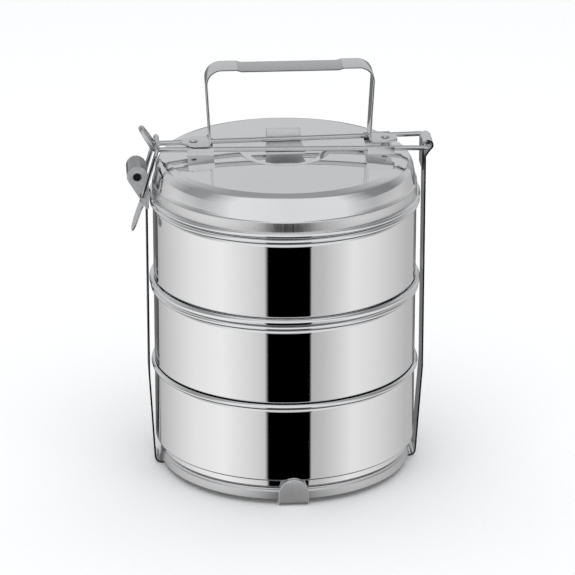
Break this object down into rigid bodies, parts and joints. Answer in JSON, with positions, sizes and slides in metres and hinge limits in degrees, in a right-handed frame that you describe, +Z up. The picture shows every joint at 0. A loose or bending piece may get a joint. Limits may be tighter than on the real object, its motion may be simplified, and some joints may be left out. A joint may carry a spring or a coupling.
{
  "type": "tiffin carrier",
  "caption": "Steel tiffin carrier: stacked round food bowls under a domed lid, clamped by a strap frame with a hinged wire crossbar, a carrying handle and a side latch.",
  "frame": {"origin": "on the bowls' axis, on the flat underside of the strap that the carrier stands on", "axes": "+Z up through the stack; X along the crossbar, with the latch at -X and the crossbar hinge at +X; the front is -Y"},
  "size_m": [0.1849, 0.1652, 0.254],
  "materials": {
    "polished_steel": "mirror polished stainless steel",
    "satin_steel": "satin brushed stainless steel",
    "strip_steel": "rolled stainless strip, lightly polished",
    "wire_steel": "bright drawn stainless wire"
  },
  "bodies": {
    "frame": {"base_ring": "satin_steel", "cross_strap": "satin_steel", "side_strap_left": "strip_steel", "side_strap_right": "strip_steel", "latch_pin": "strip_steel"},
    "crossbar": {"crossbar_wire": "wire_steel", "centre_clip": "strip_steel", "wire_clamp_left": "strip_steel", "wire_clamp_right": "strip_steel", "handle": "strip_steel", "handle_rivet_left": "strip_steel", "handle_rivet_right": "strip_steel"},
    "lid": {"lid": "polished_steel"},
    "bowl_top": {"bowl_top": "polished_steel"},
    "inner_tray": {"inner_tray": "polished_steel"},
    "bowl_middle": {"bowl_middle": "polished_steel"},
    "bowl_bottom": {"bowl_bottom": "polished_steel"},
    "latch_lever": {"latch_lever": "strip_steel"},
    "latch_bail": {"latch_bail": "wire_steel"}
  },
  "joints": [
    {"name": "crossbar_swing", "type": "hinge", "parent": "frame", "child": "crossbar", "pos_m": [0.086, 0, 0.2036], "axis": [0, 1, 0], "range_deg": [0, 205]},
    {"name": "lid_lift", "type": "slide", "parent": "frame", "child": "lid", "axis": [0, 0, 1], "range_m": [0, 0.071]},
    {"name": "bowl_top_lift", "type": "slide", "parent": "frame", "child": "bowl_top", "axis": [0, 0, 1], "range_m": [0, 0.058]},
    {"name": "inner_tray_lift", "type": "slide", "parent": "frame", "child": "inner_tray", "axis": [0, 0, 1], "range_m": [0, 0.049]},
    {"name": "bowl_middle_lift", "type": "slide", "parent": "frame", "child": "bowl_middle", "axis": [0, 0, 1], "range_m": [0, 0.029]},
    {"name": "bowl_bottom_lift", "type": "slide", "parent": "frame", "child": "bowl_bottom", "axis": [0, 0, 1], "range_m": [0, 0.015]},
    {"name": "latch_open", "type": "hinge", "parent": "frame", "child": "latch_lever", "pos_m": [-0.0894, 0, 0.1885], "axis": [0, 1, 0], "range_deg": [0, 105]},
    {"name": "bail_swing", "type": "hinge", "parent": "latch_lever", "child": "latch_bail", "pos_m": [-0.0862, 0, 0.1763], "axis": [0, 1, 0], "range_deg": [-168, 0]}
  ],
  "couplings": [
    {"joint": "latch_open", "follows": "crossbar_swing", "ratio": 0.51},
    {"joint": "bail_swing", "follows": "crossbar_swing", "ratio": -0.81},
    {"joint": "lid_lift", "follows": "crossbar_swing", "m_per_rad": 0.0198},
    {"joint": "bowl_top_lift", "follows": "crossbar_swing", "m_per_rad": 0.0162},
    {"joint": "inner_tray_lift", "follows": "crossbar_swing", "m_per_rad": 0.0136},
    {"joint": "bowl_middle_lift", "follows": "crossbar_swing", "m_per_rad": 0.0081},
    {"joint": "bowl_bottom_lift", "follows": "crossbar_swing", "m_per_rad": 0.0041}
  ]
}
